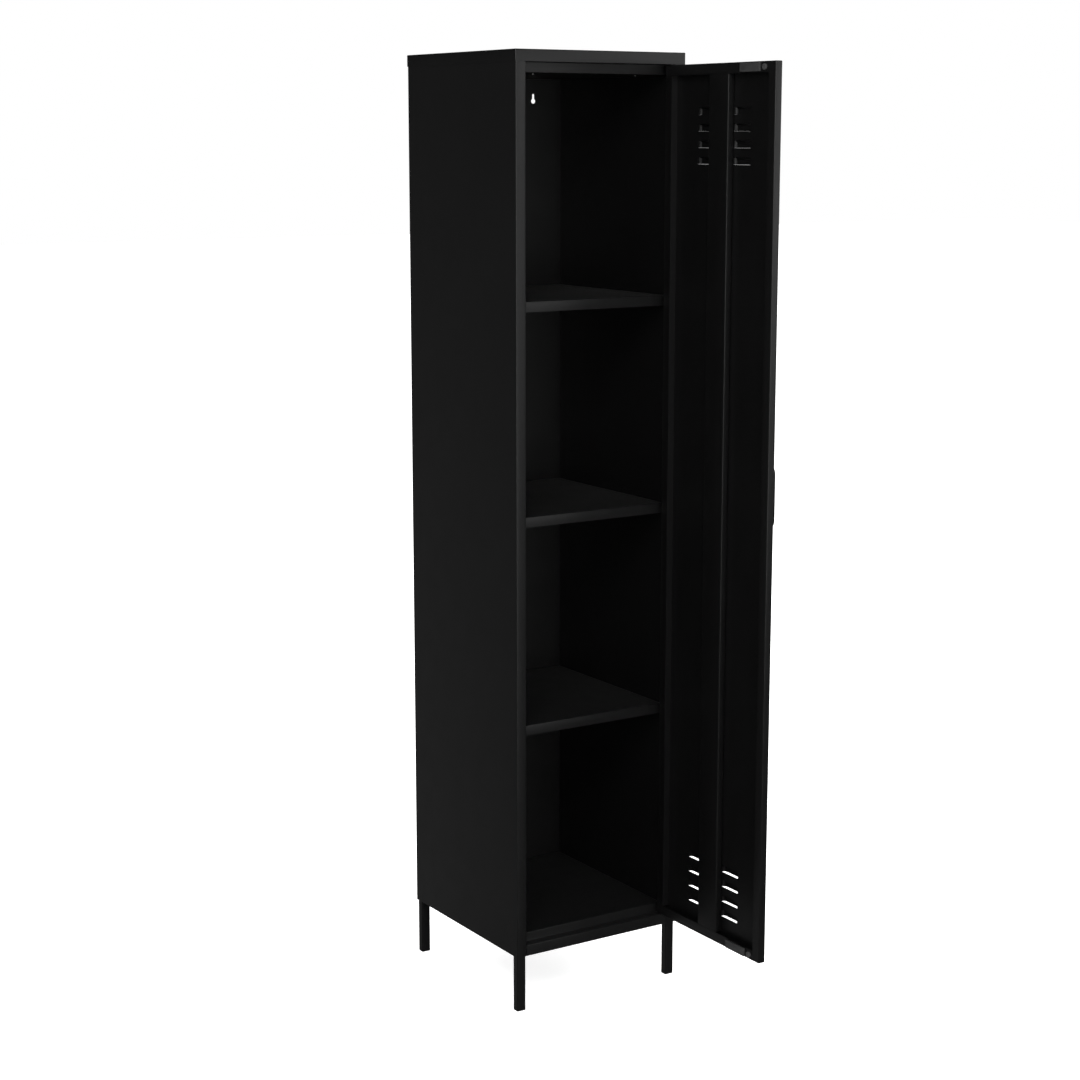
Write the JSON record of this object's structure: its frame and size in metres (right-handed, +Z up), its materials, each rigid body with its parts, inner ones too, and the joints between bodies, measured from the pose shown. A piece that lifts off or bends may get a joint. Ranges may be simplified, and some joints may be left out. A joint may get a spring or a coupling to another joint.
{
  "type": "metal locker cabinet",
  "caption": "Tall narrow black steel locker on slim legs, with shelves inside and a louvred hinged door with a bow handle, standing open.",
  "frame": {"origin": "on the floor, under the middle of the box that the cabinet fills with its door open at a right angle; the centre of the body is 0.162 m behind it", "axes": "+Z up, -Y out of the front, +X to the right of a person who faces the front, where the door is hinged"},
  "size_m": [0.3822, 0.7266, 1.85],
  "materials": {
    "black_paint": "fine satin black powder coat on folded steel sheet",
    "handle_black": "satin black coated bar",
    "zinc_steel": "zinc-plated screws and pins",
    "black_plastic": "moulded black nylon",
    "grey_rubber": "dark grey rubber",
    "magnet_grey": "dark grey flexible magnet with a matt face"
  },
  "bodies": {
    "cabinet": {"side_panel_left": "black_paint", "side_panel_right": "black_paint", "side_liner_left": "black_paint", "side_liner_right": "black_paint", "back_panel": "black_paint", "top_cap": "black_paint", "ceiling_panel": "black_paint", "floor_panel": "black_paint", "shelf_lower": "black_paint", "shelf_middle": "black_paint", "shelf_upper": "black_paint", "shelf_support_lower_front_left": "black_paint", "shelf_support_lower_front_right": "black_paint", "shelf_support_lower_rear_left": "black_paint", "shelf_support_lower_rear_right": "black_paint", "shelf_support_middle_front_left": "black_paint", "shelf_support_middle_front_right": "black_paint", "shelf_support_middle_rear_left": "black_paint", "shelf_support_middle_rear_right": "black_paint", "shelf_support_upper_front_left": "black_paint", "shelf_support_upper_front_right": "black_paint", "shelf_support_upper_rear_left": "black_paint", "shelf_support_upper_rear_right": "black_paint", "leg_front_left": "black_paint", "leg_front_right": "black_paint", "leg_rear_left": "black_paint", "leg_rear_right": "black_paint", "foot_pad_front_left": "black_plastic", "foot_pad_front_right": "black_plastic", "foot_pad_rear_left": "black_plastic", "foot_pad_rear_right": "black_plastic", "leg_screw_front_left": "zinc_steel", "leg_screw_front_right": "zinc_steel", "leg_screw_rear_left": "zinc_steel", "leg_screw_rear_right": "zinc_steel", "hinge_pin_upper": "zinc_steel", "hinge_pin_lower": "zinc_steel", "hinge_washer": "black_plastic", "ceiling_screw_left": "zinc_steel", "ceiling_screw_right": "zinc_steel"},
    "door": {"door_skin": "black_paint", "door_rib": "black_paint", "door_handle": "handle_black", "handle_screw_upper": "zinc_steel", "handle_screw_lower": "zinc_steel", "door_magnet_upper": "magnet_grey", "door_magnet_lower": "magnet_grey", "door_bumper_upper": "grey_rubber", "door_bumper_lower": "grey_rubber", "hinge_bush_upper": "black_plastic", "hinge_bush_lower": "black_plastic"}
  },
  "joints": [
    {"name": "door_hinge", "type": "hinge", "parent": "cabinet", "child": "door", "pos_m": [0.1625, -0.0343, 0], "axis": [0, 0, 1], "range_deg": [-90, 20]}
  ]
}
